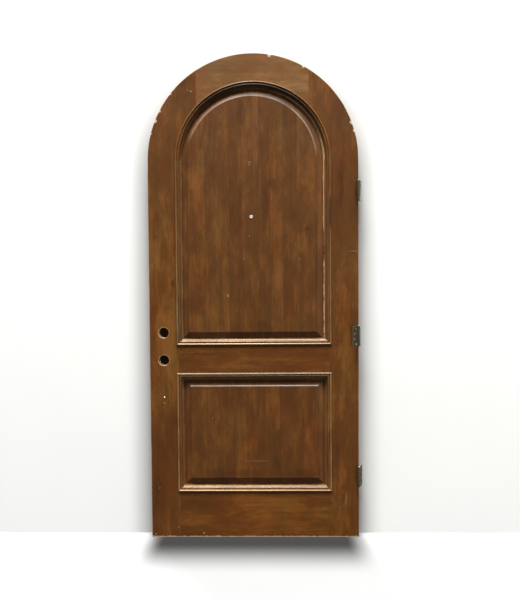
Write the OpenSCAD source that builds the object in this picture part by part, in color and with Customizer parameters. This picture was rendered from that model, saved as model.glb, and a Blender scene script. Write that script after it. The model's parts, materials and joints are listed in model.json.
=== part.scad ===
// Arched wooden door: a stile-and-rail slab with two raised panels, applied bolection
// mouldings on both faces, three loose-pin butt hinges, lock bores and a door viewer.
// X runs across the door towards its hinges, -Y is the face on the hinge barrels' side and
// Z is up. The origin is the middle of the bottom edge, at mid-thickness. Millimetres.

/* [Slab] */
// Width across both stiles
door_w = 1054; // [870:1:1270]
// Height to the crown of the round arch
door_h = 2438; // [2030:1:2930]
// Thickness of the stiles and rails
door_t = 44.45; // [37:0.05:54]

/* [Stiles and rails] */
// Width of each stile
stile_w = 146; // [141:1:190]
// Height of the bottom rail
bottom_rail_h = 245; // [190:1:300]
// Height of the lock rail's lower edge above the bottom of the door
lock_rail_z = 832; // [700:1:900]
// Height of the lock rail from edge to edge
lock_rail_h = 161; // [130:1:190]
// Width of each haunch, glued between a stile and the head rail
haunch_w = 100; // [90:1:130]

/* [Dowels] */
// Radius of the dowels that join the frame members
dowel_r = 6.35; // [4:0.05:8]
// Length of a dowel, half of it in each member
dowel_len = 80; // [60:1:84]
// Radial clearance of a dowel in its hole
dowel_clear = 0.1; // [0.05:0.05:0.2]
// Spare depth of a dowel hole at each end
dowel_end = 1; // [0.5:0.5:2]
// Dowels at each end of the lock rail
lock_rail_dowel_count = 3; // [2:1:3]
// Dowels at each end of the bottom rail
bottom_rail_dowel_count = 4; // [2:1:5]

/* [Panels] */
// Depth of the panel groove in the stiles and rails
groove_d = 15; // [14.5:0.5:18]
// Width of the panel groove
groove_w = 14; // [10:0.5:16]
// Clearance of a panel's tongue from each wall of its groove
tongue_clear = 0.25; // [0.1:0.05:0.4]
// Reach of a centred panel's tongue into the groove
tongue_reach = 8; // [7:0.5:8]
// Depth of a panel's raised field below the face of the stiles
field_recess = 2.5; // [1:0.5:5]
// Distance from a moulding's outer edge to the raised field of a centred panel
field_margin = 69; // [60:1:90]
// Width of the steep shoulder round the raised field
shoulder_w = 5; // [3:0.5:10]
// Depth of the steep shoulder round the raised field
shoulder_d = 5; // [2:0.5:6]
// Width of the flat border between a moulding and the bevel of a centred panel
border_w = 7; // [6.5:0.5:12]
// How far the upper panel has slipped in its groove towards the lock stile
slip_x = 6; // [0:0.5:6]
// How far the upper panel has dropped in its groove
slip_z = 3; // [0:0.5:6]

/* [Mouldings] */
// Width of a moulding from its outer edge to its inner toe
moulding_w = 33; // [31:0.5:40]
// How far a moulding laps over the face of the stiles and rails
moulding_lap = 10; // [9.5:0.5:11]
// Clearance between a moulding's body and the edge of the member beside it
moulding_clear = 0.25; // [0.1:0.05:0.5]
// Radius of the bead along the outer edge
bead_r = 4.75; // [4:0.25:5]
// Height of the outer bead above the face
bead_h = 5.5; // [5:0.25:7]
// Width of the quirk between the two beads
quirk_w = 2.5; // [1.5:0.25:3.5]
// Height of the quirk's floor above the face
quirk_h = 1; // [0.5:0.25:2]
// Radius of the inner bead
inner_bead_r = 4.5; // [3.5:0.25:5]
// Height of the inner bead above the face
inner_bead_h = 3.7; // [2.5:0.1:4.5]
// Thickness of the toe that the cove runs down to
toe_t = 2.7; // [1.5:0.1:4]

/* [Lock preparation] */
// Distance from the lock edge to the centre of the cross bores
backset = 69.85; // [60:0.05:70]
// Radius of the cross bores
cross_bore_r = 27; // [25:0.1:27.5]
// Height of the lower cross bore
latch_z = 907; // [860:1:980]
// Distance between the two cross bores
bore_spacing = 139.7; // [100:0.1:160]
// Radius of the latch bores in the lock edge
latch_bore_r = 12.7; // [11:0.1:12.7]
// Width of a latch faceplate's recess
faceplate_w = 25.4; // [22:0.1:28]
// Height of a latch faceplate's recess
faceplate_h = 57.15; // [50:0.05:70]
// Depth of a latch faceplate's recess
faceplate_d = 3.2; // [2:0.1:4]

/* [Hinges] */
// Height of a hinge leaf
hinge_h = 101.6; // [88.9:0.1:127]
// Reach of a leaf from the pin axis to its free edge
leaf_reach = 50.8; // [44.4:0.1:57]
// Thickness of a leaf
leaf_t = 2.8; // [2.5:0.1:3.6]
// Radius of a leaf's free corners
leaf_corner_r = 6.35; // [3:0.05:16]
// Gap between the two leaves of a closed hinge
leaf_gap = 1.6; // [1:0.1:2.4]
// Width of wood left behind a leaf, from its edge to the far face
leaf_backset = 6.35; // [4:0.05:10]
// Outer radius of the barrel
barrel_r = 6.2; // [5.5:0.1:7]
// Radius of the hinge pin
pin_r = 3.1; // [2.5:0.1:3.6]
// Radial clearance of the pin in the knuckles
pin_clear = 0.05; // [0.02:0.01:0.1]
// Gap between neighbouring knuckles
knuckle_gap = 0.4; // [0.3:0.1:0.8]
// Clearance of a leaf's notch round the other leaf's knuckles
notch_clear = 0.8; // [0.5:0.1:1.5]
// Clearance round a leaf in its mortise
mortise_clear = 0.2; // [0.1:0.05:0.5]
// Height of the rounded heads at both ends of the barrel
pin_head_h = 3; // [2:0.5:5]
// Distance of the top hinge's middle below the spring of the arch
top_hinge_drop = 158; // [60:1:300]
// Height of the middle hinge's middle
middle_hinge_z = 1028; // [800:1:1100]
// Height of the bottom hinge's middle
bottom_hinge_z = 314; // [150:1:400]
// Opening of the top hinge's loose leaf from closed, in degrees
top_leaf_angle = 17; // [0:1:270]
// Opening of the middle hinge's loose leaf from closed, in degrees
middle_leaf_angle = 220; // [0:1:270]
// Opening of the bottom hinge's loose leaf from closed, in degrees
bottom_leaf_angle = 20; // [0:1:270]

/* [Screws] */
// Radius of the holes in a leaf
screw_hole_r = 2.7; // [2.4:0.1:3]
// Radius of a countersink at the face of a leaf
countersink_r = 4.6; // [4:0.1:5.2]
// Depth of a countersink
countersink_d = 2; // [1.5:0.1:2.2]
// Radius of a hinge screw's shank
screw_shank_r = 2.3; // [2:0.1:2.5]
// Length of a hinge screw
screw_len = 32; // [20:1:50]
// Clearance round a screw's head and shank
screw_clear = 0.1; // [0.05:0.05:0.2]
// Distance of the outer screw holes from the pin axis
outer_hole_reach = 26; // [22:0.5:30]
// Distance of the inner screw holes from the pin axis
inner_hole_reach = 37; // [31:0.5:40]
// Distance between the outer two screw holes
outer_hole_pitch = 76.2; // [60:0.1:80]
// Distance between the inner two screw holes
inner_hole_pitch = 25.4; // [20:0.1:40]

/* [Door viewer and handle screw] */
// Offset of the viewer from the middle of the door, towards the lock
viewer_x = 9; // [0:1:40]
// Height of the viewer
viewer_z = 1628; // [1400:1:1700]
// Radius of the viewer's outer flange
viewer_flange_r = 8.5; // [8:0.1:12]
// Thickness of the viewer's flanges
viewer_flange_t = 1.8; // [1:0.1:3]
// Outer radius of the viewer's barrel
viewer_barrel_r = 6.9; // [6:0.1:7.5]
// Wall of the viewer's barrel and sleeve
viewer_wall = 0.9; // [0.6:0.1:1.2]
// Clearance round the viewer's barrel and between its pieces
viewer_clear = 0.1; // [0.05:0.05:0.3]
// Thickness of the viewer's lenses
lens_t = 3; // [2:0.5:4]
// Length of the viewer barrel's and sleeve's overlap
viewer_overlap = 10; // [6:0.5:14]
// Height of the old handle screw
handle_screw_z = 718; // [600:1:740]
// Radius of the handle screw's round head
handle_head_r = 4.8; // [4:0.1:6]
// Height of the handle screw's round head
handle_head_h = 2.8; // [2:0.1:4]
// Length of the handle screw in the wood
handle_screw_len = 30; // [20:1:34]

/* [Hidden] */
$fn = 96;
arch_fn = 192;                              // steps round the arch and its opening

wood = "saddlebrown";
dark_wood = [0.36, 0.22, 0.12];
beech = "burlywood";
bronze = [0.35, 0.34, 0.28];
nickel = [0.85, 0.82, 0.72];
lens_glass = [0.8, 0.85, 0.9];

past = 1;                                   // how far a cut runs past the surface it opens
arch_r = door_w / 2;
spring_z = door_h - arch_r;
opening_half = arch_r - stile_w;            // half the width between the stiles
head_half = opening_half - haunch_w;        // half the length of the head rail
upper_opening_z = lock_rail_z + lock_rail_h;

sight_half = opening_half + moulding_lap;   // half the width over the mouldings' outer edges
upper_sight_z = upper_opening_z - moulding_lap;
lower_sight_z = bottom_rail_h - moulding_lap;
lower_sight_h = lock_rail_z + moulding_lap - lower_sight_z;
moulding_d = (door_t - groove_w) / 2;       // a moulding's body ends level with the groove's wall
cove_u = 2 * bead_r + quirk_w + 2 * inner_bead_r;
cove_r = moulding_d - toe_t + inner_bead_h - inner_bead_r + past;

tongue_t = groove_w - 2 * tongue_clear;
field_t = door_t - 2 * field_recess;
field_half = sight_half - field_margin;
bevel_end = field_margin - moulding_w - border_w;   // from the field's edge to the bevel's foot
tongue_end = field_margin - moulding_lap + tongue_reach;
lower_field_half_h = lower_sight_h / 2 - field_margin;
upper_field_h = spring_z - upper_sight_z - field_margin;

deadbolt_z = latch_z + bore_spacing;
cross_bore_x = backset - arch_r;

hinge_axis_x = arch_r + leaf_gap / 2;
hinge_axis_y = door_t / 2 - leaf_backset - leaf_reach;
top_hinge_z = spring_z - top_hinge_drop;
knuckle_count = 5;
knuckle_pitch = (hinge_h + knuckle_gap) / knuckle_count;
jamb_knuckles = [0, 2, 4];
door_knuckles = [1, 3];
tip_len = 8;                                // length of the tip's plug in the lowest knuckle
tip_gap = 0.5;                              // between that plug and the end of the pin
screw_point = 8;                            // length of a screw's tapered point
drive_w = 1.1;                              // width of a screw's cross slots
drive_d = 1.2;                              // depth of a screw's cross slots

// Chips out of the arch's front edge: angle round the arch from the hinge side, and size
edge_chips = [[15.5, 7], [20, 9], [61, 7], [80.5, 9], [152, 7], [158, 8], [165, 6]];

// ---- Shared shapes ----

// A 2D drawing in X and Z, made as thick as t and centred on mid-thickness
module upright(t) {
    rotate([90, 0, 0])
        linear_extrude(t, center = true)
            children();
}

// The back face's piece is the front face's, seen in a mirror at mid-thickness
module on_back() {
    mirror([0, 1, 0])
        children();
}

// The hinge side's piece is the lock side's, seen in a mirror at the middle of the door
module on_hinge_side() {
    mirror([1, 0, 0])
        children();
}

module slab_outline() {
    translate([-arch_r, 0])
        square([door_w, spring_z]);
    translate([0, spring_z])
        circle(arch_r, $fn = arch_fn);
}

// The upper opening in the frame, made larger all round by grow
module upper_opening(grow) {
    translate([-opening_half - grow, upper_opening_z - grow])
        square([2 * (opening_half + grow), spring_z - upper_opening_z + grow]);
    translate([0, spring_z])
        circle(opening_half + grow, $fn = arch_fn);
}

// The lower opening in the frame, made larger all round by grow
module lower_opening(grow) {
    translate([-opening_half - grow, bottom_rail_h - grow])
        square([2 * (opening_half + grow), lock_rail_z - bottom_rail_h + 2 * grow]);
}

module panel_grooves() {
    upright(groove_w) {
        upper_opening(groove_d);
        lower_opening(groove_d);
    }
}

// Scoops broken out of the front arris of the arch
module chips() {
    for (chip = edge_chips)
        translate([0, -door_t / 2, spring_z])
            rotate([0, -chip[0], 0])
                translate([arch_r + chip[1] * 0.55, -chip[1] * 0.55, 0])
                    sphere(chip[1]);
}

// ---- Dowels ----

// Heights above the spring of two dowels across an upright joint at x in the arch
function arch_dowel_heights(x) =
    let (low = sqrt(pow(opening_half + groove_d, 2) - pow(x - dowel_len / 2, 2)))
    let (high = sqrt(pow(arch_r, 2) - pow(x + dowel_len / 2, 2)))
    [for (part = [0.27, 0.73]) spring_z + low + part * (high - low)];

// Heights of count dowels between low and high
function spaced(low, high, count) = [for (i = [0.5:1:count]) low + i * (high - low) / count];

lock_rail_dowel_z = spaced(lock_rail_z + groove_d, upper_opening_z - groove_d, lock_rail_dowel_count);
bottom_rail_dowel_z = spaced(0, bottom_rail_h - groove_d, bottom_rail_dowel_count);

// Dowels across the joints at x and -x, or their holes when clear and end are given
module dowel_rows(x, heights, clear = 0, end = 0) {
    for (side = [-1, 1])
        for (z = heights)
            translate([side * x, 0, z])
                rotate([0, 90, 0])
                    cylinder(r = dowel_r + clear, h = dowel_len + 2 * end, center = true);
}

module all_dowel_holes() {
    dowel_rows(head_half, arch_dowel_heights(head_half), dowel_clear, dowel_end);
    dowel_rows(opening_half, arch_dowel_heights(opening_half), dowel_clear, dowel_end);
    dowel_rows(opening_half, lock_rail_dowel_z, dowel_clear, dowel_end);
    dowel_rows(opening_half, bottom_rail_dowel_z, dowel_clear, dowel_end);
}

module haunch_dowels() {
    color(beech)
        dowel_rows(opening_half, arch_dowel_heights(opening_half));
}

module head_dowels() {
    color(beech)
        dowel_rows(head_half, arch_dowel_heights(head_half));
}

module lock_rail_dowels() {
    color(beech)
        dowel_rows(opening_half, lock_rail_dowel_z);
}

module bottom_rail_dowels() {
    color(beech)
        dowel_rows(opening_half, bottom_rail_dowel_z);
}

// ---- Stiles and rails ----

module stile_blank() {
    upright(door_t)
        intersection() {
            slab_outline();
            translate([-arch_r, 0])
                square([stile_w, door_h]);
        }
}

// A recess with round corners, cut into an upright edge that faces -X at x = 0
module edge_recess(w, h, depth, corner_r) {
    translate([-past, 0, 0])
        rotate([90, 0, 90])
            linear_extrude(depth + past)
                rounded_plate(w, h, corner_r);
}

// A w by h rectangle about the origin, with round corners
module rounded_plate(w, h, r) {
    square([w - 2 * r, h], center = true);
    square([w, h - 2 * r], center = true);
    for (x = [-1, 1])
        for (y = [-1, 1])
            translate([x * (w / 2 - r), y * (h / 2 - r)])
                circle(r);
}

module lock_preparation() {
    for (z = [latch_z, deadbolt_z]) {
        translate([cross_bore_x, 0, z])
            rotate([90, 0, 0])
                cylinder(r = cross_bore_r, h = door_t + 2 * past, center = true);
        translate([-arch_r - past, 0, z])
            rotate([0, 90, 0])
                cylinder(r = latch_bore_r, h = backset + past);
        translate([-arch_r, 0, z])
            edge_recess(faceplate_w, faceplate_h, faceplate_d, leaf_corner_r);
    }
}

module lock_stile() {
    color(wood)
        difference() {
            stile_blank();
            panel_grooves();
            all_dowel_holes();
            lock_preparation();
            handle_screw_hole();
            chips();
        }
}

module hinge_stile() {
    color(wood)
        difference() {
            on_hinge_side()
                stile_blank();
            panel_grooves();
            all_dowel_holes();
            for (z = [top_hinge_z, middle_hinge_z, bottom_hinge_z])
                translate([hinge_axis_x, hinge_axis_y, z])
                    leaf_mortise();
            chips();
        }
}

// A member of the arch between the spring and the crown, from x to x + w
module arch_member(x, w) {
    color(wood)
        difference() {
            upright(door_t)
                difference() {
                    intersection() {
                        slab_outline();
                        translate([x, spring_z])
                            square([w, arch_r]);
                    }
                    upper_opening(0);
                }
            panel_grooves();
            all_dowel_holes();
            chips();
        }
}

module lock_haunch() {
    arch_member(-opening_half, haunch_w);
}

module hinge_haunch() {
    arch_member(head_half, haunch_w);
}

module head_rail() {
    arch_member(-head_half, 2 * head_half);
}

// A straight rail between the stiles
module rail(z, h) {
    color(wood)
        difference() {
            translate([-opening_half, -door_t / 2, z])
                cube([2 * opening_half, door_t, h]);
            panel_grooves();
            all_dowel_holes();
        }
}

module lock_rail() {
    rail(lock_rail_z, lock_rail_h);
}

module bottom_rail() {
    rail(0, bottom_rail_h);
}

// ---- Panels ----

// One quarter of a panel's section, from the edge of its field outwards
function panel_quarter(half) = [
    [half, field_t / 2],
    [half + shoulder_w, field_t / 2 - shoulder_d],
    [half + bevel_end, tongue_t / 2],
    [half + tongue_end, tongue_t / 2]
];

function reversed(points) = [for (i = [len(points) - 1:-1:0]) points[i]];

// The outer side of a panel's section, both faces of it, from face to face
function panel_side(half) = concat(
    panel_quarter(half),
    [for (p = reversed(panel_quarter(half))) [p[0], -p[1]]]
);

module panel_section(half) {
    polygon(concat(panel_side(half), [for (p = reversed(panel_side(half))) [-p[0], p[1]]]));
}

// The section from the middle of a panel out to one side
module half_panel_section(half) {
    polygon(concat([[0, -field_t / 2], [0, field_t / 2]], panel_side(half)));
}

module upper_panel_blank() {
    translate([0, 0, spring_z])
        rotate([90, 0, 0])
            rotate_extrude(angle = 180)
                half_panel_section(field_half);
    intersection() {
        translate([0, 0, upper_opening_z - groove_d])
            linear_extrude(spring_z - upper_opening_z + groove_d)
                panel_section(field_half);
        translate([-arch_r, 0, spring_z])
            rotate([90, 90, 90])
                linear_extrude(door_w)
                    half_panel_section(upper_field_h);
    }
}

module upper_panel() {
    color(dark_wood)
        difference() {
            translate([-slip_x, 0, -slip_z])
                upper_panel_blank();
            translate([-viewer_x, 0, viewer_z])
                rotate([90, 0, 0])
                    cylinder(r = viewer_barrel_r + viewer_clear, h = door_t, center = true);
        }
}

module lower_panel() {
    color(dark_wood)
        intersection() {
            translate([0, 0, bottom_rail_h - groove_d])
                linear_extrude(lock_rail_z - bottom_rail_h + 2 * groove_d)
                    panel_section(field_half);
            translate([-arch_r, 0, (bottom_rail_h + lock_rail_z) / 2])
                rotate([90, 90, 90])
                    linear_extrude(door_w)
                        panel_section(lower_field_half_h);
        }
}

// ---- Mouldings ----

// Section of a moulding: X from its outer edge inwards, Y up from the face
module moulding_profile() {
    difference() {
        union() {
            translate([bead_r, bead_h - bead_r])
                circle(bead_r);
            square([2 * bead_r, bead_h - bead_r]);
            square([cove_u - inner_bead_r, quirk_h]);
            translate([cove_u - inner_bead_r, inner_bead_h - inner_bead_r])
                circle(inner_bead_r);
            translate([moulding_lap, -moulding_d])
                square([moulding_w - moulding_lap, moulding_d + inner_bead_h - inner_bead_r]);
        }
        translate([cove_u + cove_r, cove_r + toe_t - moulding_d])
            circle(cove_r);
        translate([-past, -moulding_d])
            square([moulding_lap + moulding_clear + past, moulding_d]);
    }
}

// Takes the corner off the start of a length, at 45 degrees inwards from its outer edge
module mitre() {
    reach = 4 * moulding_w;
    rotate([0, -45, 0])
        translate([-reach / 2, -reach / 2, -reach])
            cube(reach);
}

// A length of moulding along Z, mitred at its start and, if both is true, at its end
module moulding_length(length, both) {
    difference() {
        linear_extrude(length)
            moulding_profile();
        mitre();
        if (both)
            translate([0, 0, length])
                mirror([0, 0, 1])
                    mitre();
    }
}

module upright_moulding(z, length, both) {
    color(wood)
        translate([-sight_half, -door_t / 2, z])
            mirror([0, 1, 0])
                moulding_length(length, both);
}

module sill_moulding(z) {
    color(wood)
        translate([sight_half, -door_t / 2, z])
            mirror([0, 1, 0])
                rotate([0, -90, 0])
                    moulding_length(2 * sight_half, true);
}

module front_arch_moulding() {
    color(wood)
        translate([0, -door_t / 2, spring_z])
            rotate([90, 0, 0])
                rotate_extrude(angle = 180)
                    translate([sight_half, 0])
                        mirror([1, 0])
                            moulding_profile();
}

module front_upper_lock_moulding() {
    upright_moulding(upper_sight_z, spring_z - upper_sight_z, false);
}

module front_upper_hinge_moulding() {
    on_hinge_side()
        front_upper_lock_moulding();
}

module front_upper_sill_moulding() {
    sill_moulding(upper_sight_z);
}

module front_lower_head_moulding() {
    translate([0, 0, lower_sight_z + lower_sight_h])
        mirror([0, 0, 1])
            sill_moulding(0);
}

module front_lower_sill_moulding() {
    sill_moulding(lower_sight_z);
}

module front_lower_lock_moulding() {
    upright_moulding(lower_sight_z, lower_sight_h, true);
}

module front_lower_hinge_moulding() {
    on_hinge_side()
        front_lower_lock_moulding();
}

module back_arch_moulding() {
    on_back()
        front_arch_moulding();
}

module back_upper_lock_moulding() {
    on_back()
        front_upper_lock_moulding();
}

module back_upper_hinge_moulding() {
    on_back()
        front_upper_hinge_moulding();
}

module back_upper_sill_moulding() {
    on_back()
        front_upper_sill_moulding();
}

module back_lower_head_moulding() {
    on_back()
        front_lower_head_moulding();
}

module back_lower_sill_moulding() {
    on_back()
        front_lower_sill_moulding();
}

module back_lower_lock_moulding() {
    on_back()
        front_lower_lock_moulding();
}

module back_lower_hinge_moulding() {
    on_back()
        front_lower_hinge_moulding();
}

// ---- Hinges, each about its pin axis at the middle of its height ----

// Height of the lower end of knuckle number i
function knuckle_z(i) = i * knuckle_pitch - hinge_h / 2;

// The outline of a leaf in Y and Z, made larger by grow, with its free corners rounded
module leaf_outline(grow) {
    corner = leaf_corner_r + grow;
    half_h = hinge_h / 2 + grow;
    translate([0, -half_h])
        square([leaf_reach + grow - corner, 2 * half_h]);
    translate([0, corner - half_h])
        square([leaf_reach + grow, 2 * (half_h - corner)]);
    for (side = [-1, 1])
        translate([leaf_reach + grow - corner, side * (half_h - corner)])
            circle(corner);
}

// Puts its children at each screw hole of a leaf, with Z running from its inner face into it
module at_screw_holes() {
    holes = [[outer_hole_reach, outer_hole_pitch / 2], [inner_hole_reach, inner_hole_pitch / 2]];
    for (hole = holes)
        for (side = [-1, 1])
            translate([leaf_gap / 2, hole[0], side * hole[1]])
                rotate([0, 90, 0])
                    children();
}

module countersunk_hole() {
    translate([0, 0, -past])
        cylinder(r = screw_hole_r, h = leaf_t + 2 * past);
    cylinder(r1 = countersink_r, r2 = screw_hole_r, h = countersink_d);
}

// A leaf of a closed hinge on the +X side of the pin, with the knuckles it is given
module leaf(knuckles) {
    difference() {
        union() {
            translate([leaf_gap / 2, 0, 0])
                rotate([90, 0, 90])
                    linear_extrude(leaf_t)
                        leaf_outline(0);
            for (i = knuckles)
                translate([0, 0, knuckle_z(i)])
                    cylinder(r = barrel_r, h = knuckle_pitch - knuckle_gap);
        }
        for (i = [0:knuckle_count - 1])
            if (len(search(i, knuckles)) == 0)
                translate([0, -past, knuckle_z(i) - knuckle_gap])
                    cube([barrel_r, barrel_r + notch_clear + past, knuckle_pitch + knuckle_gap]);
        cylinder(r = pin_r + pin_clear, h = hinge_h + 2 * past, center = true);
        at_screw_holes()
            countersunk_hole();
    }
}

module door_leaf(z) {
    color(bronze)
        translate([hinge_axis_x, hinge_axis_y, z])
            mirror([1, 0, 0])
                leaf(door_knuckles);
}

module jamb_leaf(z, angle) {
    color(bronze)
        translate([hinge_axis_x, hinge_axis_y, z])
            rotate([0, 0, -angle])
                leaf(jamb_knuckles);
}

// A leaf's mortise in the hinge edge, open to the face on the barrel's side
module leaf_mortise() {
    mirror([1, 0, 0]) {
        translate([leaf_gap / 2 - past, 0, 0])
            rotate([90, 0, 90])
                linear_extrude(leaf_t + past)
                    leaf_outline(mortise_clear);
        at_screw_holes()
            cylinder(r = screw_shank_r + screw_clear, h = screw_len + past);
        // Room for the barrel where a thick door brings the arris up to it
        translate([0, 0, -hinge_h / 2 - pin_head_h - mortise_clear])
            cylinder(r = barrel_r + mortise_clear, h = hinge_h + 2 * (pin_head_h + mortise_clear));
    }
}

// A countersunk screw whose head lies level with Z = 0, running along +Z
module hinge_screw() {
    head_r = countersink_r - screw_clear;
    difference() {
        union() {
            cylinder(r1 = head_r, r2 = screw_shank_r, h = countersink_d);
            cylinder(r = screw_shank_r, h = screw_len - screw_point);
            translate([0, 0, screw_len - screw_point])
                cylinder(r1 = screw_shank_r, r2 = 0.5, h = screw_point);
        }
        cross_slots(head_r);
    }
}

// The cross slots in a screw's head, sunk from Z = 0
module cross_slots(head_r) {
    for (turn = [0, 90])
        rotate([0, 0, turn])
            translate([-drive_w / 2, -head_r * 0.6, -past])
                cube([drive_w, head_r * 1.2, drive_d + past]);
}

module hinge_screws(z) {
    color(bronze)
        translate([hinge_axis_x, hinge_axis_y, z])
            mirror([1, 0, 0])
                at_screw_holes()
                    translate([0, 0, screw_clear])
                        hinge_screw();
}

// A rounded button that closes an end of the barrel, sitting on Z = 0
module button() {
    ball_r = (barrel_r * barrel_r + pin_head_h * pin_head_h) / (2 * pin_head_h);
    intersection() {
        cylinder(r = barrel_r, h = pin_head_h);
        translate([0, 0, pin_head_h - ball_r])
            sphere(ball_r);
    }
}

module hinge_pin(z) {
    low = tip_len + tip_gap - hinge_h / 2;
    color(bronze)
        translate([hinge_axis_x, hinge_axis_y, z]) {
            translate([0, 0, low])
                cylinder(r = pin_r, h = hinge_h / 2 - low);
            translate([0, 0, hinge_h / 2])
                button();
        }
}

module hinge_tip(z) {
    color(bronze)
        translate([hinge_axis_x, hinge_axis_y, z - hinge_h / 2]) {
            cylinder(r = pin_r, h = tip_len);
            mirror([0, 0, 1])
                button();
        }
}

module top_hinge_door_leaf() {
    door_leaf(top_hinge_z);
}

module top_hinge_jamb_leaf() {
    jamb_leaf(top_hinge_z, top_leaf_angle);
}

module top_hinge_pin() {
    hinge_pin(top_hinge_z);
}

module top_hinge_tip() {
    hinge_tip(top_hinge_z);
}

module top_hinge_screws() {
    hinge_screws(top_hinge_z);
}

module middle_hinge_door_leaf() {
    door_leaf(middle_hinge_z);
}

module middle_hinge_jamb_leaf() {
    jamb_leaf(middle_hinge_z, middle_leaf_angle);
}

module middle_hinge_pin() {
    hinge_pin(middle_hinge_z);
}

module middle_hinge_tip() {
    hinge_tip(middle_hinge_z);
}

module middle_hinge_screws() {
    hinge_screws(middle_hinge_z);
}

module bottom_hinge_door_leaf() {
    door_leaf(bottom_hinge_z);
}

module bottom_hinge_jamb_leaf() {
    jamb_leaf(bottom_hinge_z, bottom_leaf_angle);
}

module bottom_hinge_pin() {
    hinge_pin(bottom_hinge_z);
}

module bottom_hinge_tip() {
    hinge_tip(bottom_hinge_z);
}

module bottom_hinge_screws() {
    hinge_screws(bottom_hinge_z);
}

// ---- Door viewer, along Y through the upper panel ----

sleeve_r = viewer_barrel_r - viewer_wall - viewer_clear;
sleeve_bore_r = sleeve_r - viewer_wall;
viewer_barrel_len = field_t / 2 + viewer_overlap / 2;

// Children drawn along +Z from the front face of the upper panel's field inwards
module at_viewer() {
    translate([-viewer_x, -field_t / 2, viewer_z])
        rotate([-90, 0, 0])
            children();
}

module viewer_barrel() {
    color(nickel)
        at_viewer()
            difference() {
                union() {
                    translate([0, 0, -viewer_flange_t])
                        cylinder(r1 = viewer_flange_r - viewer_flange_t / 2,
                                 r2 = viewer_flange_r, h = viewer_flange_t);
                    cylinder(r = viewer_barrel_r, h = viewer_barrel_len);
                }
                translate([0, 0, lens_t - viewer_flange_t])
                    cylinder(r = viewer_barrel_r - viewer_wall, h = viewer_barrel_len + viewer_flange_t);
                translate([0, 0, -viewer_flange_t - past])
                    cylinder(r = sleeve_bore_r, h = viewer_barrel_len);
            }
}

module viewer_lens() {
    color(lens_glass)
        at_viewer()
            translate([0, 0, -viewer_flange_t])
                intersection() {
                    cylinder(r = sleeve_bore_r - viewer_clear, h = lens_t);
                    translate([0, 0, 2 * sleeve_bore_r])
                        sphere(2 * sleeve_bore_r);
                }
}

module viewer_sleeve() {
    color(nickel)
        at_viewer()
            difference() {
                union() {
                    translate([0, 0, field_t])
                        cylinder(r1 = viewer_flange_r, r2 = viewer_flange_r - viewer_flange_t / 2,
                                 h = viewer_flange_t);
                    translate([0, 0, viewer_barrel_len - viewer_overlap])
                        cylinder(r = sleeve_r, h = field_t - viewer_barrel_len + viewer_overlap);
                }
                translate([0, 0, viewer_barrel_len - viewer_overlap - past])
                    cylinder(r = sleeve_bore_r, h = field_t);
            }
}

module viewer_eyepiece() {
    color(lens_glass)
        at_viewer()
            translate([0, 0, field_t - lens_t])
                cylinder(r = sleeve_bore_r - viewer_clear, h = lens_t);
}

// ---- Old handle screw in the lock stile ----

module handle_screw_hole() {
    translate([cross_bore_x, -door_t / 2 - past, handle_screw_z])
        rotate([-90, 0, 0])
            cylinder(r = screw_shank_r + screw_clear, h = handle_screw_len + 2 * past);
}

module handle_screw() {
    ball_r = (handle_head_r * handle_head_r + handle_head_h * handle_head_h) / (2 * handle_head_h);
    color(nickel)
        translate([cross_bore_x, -door_t / 2, handle_screw_z])
            rotate([-90, 0, 0]) {
                cylinder(r = screw_shank_r, h = handle_screw_len - screw_point);
                translate([0, 0, handle_screw_len - screw_point])
                    cylinder(r1 = screw_shank_r, r2 = 0.5, h = screw_point);
                intersection() {
                    translate([0, 0, -handle_head_h])
                        cylinder(r = handle_head_r, h = handle_head_h);
                    translate([0, 0, ball_r - handle_head_h])
                        sphere(ball_r);
                }
            }
}

lock_stile();
hinge_stile();
lock_haunch();
hinge_haunch();
head_rail();
lock_rail();
bottom_rail();
upper_panel();
lower_panel();
front_arch_moulding();
front_upper_lock_moulding();
front_upper_hinge_moulding();
front_upper_sill_moulding();
front_lower_head_moulding();
front_lower_sill_moulding();
front_lower_lock_moulding();
front_lower_hinge_moulding();
back_arch_moulding();
back_upper_lock_moulding();
back_upper_hinge_moulding();
back_upper_sill_moulding();
back_lower_head_moulding();
back_lower_sill_moulding();
back_lower_lock_moulding();
back_lower_hinge_moulding();
haunch_dowels();
head_dowels();
lock_rail_dowels();
bottom_rail_dowels();
top_hinge_door_leaf();
top_hinge_jamb_leaf();
top_hinge_pin();
top_hinge_tip();
top_hinge_screws();
middle_hinge_door_leaf();
middle_hinge_jamb_leaf();
middle_hinge_pin();
middle_hinge_tip();
middle_hinge_screws();
bottom_hinge_door_leaf();
bottom_hinge_jamb_leaf();
bottom_hinge_pin();
bottom_hinge_tip();
bottom_hinge_screws();
viewer_barrel();
viewer_sleeve();
viewer_lens();
viewer_eyepiece();
handle_screw();
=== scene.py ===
import json
import math

import bpy
from mathutils import Matrix, Vector


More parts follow.
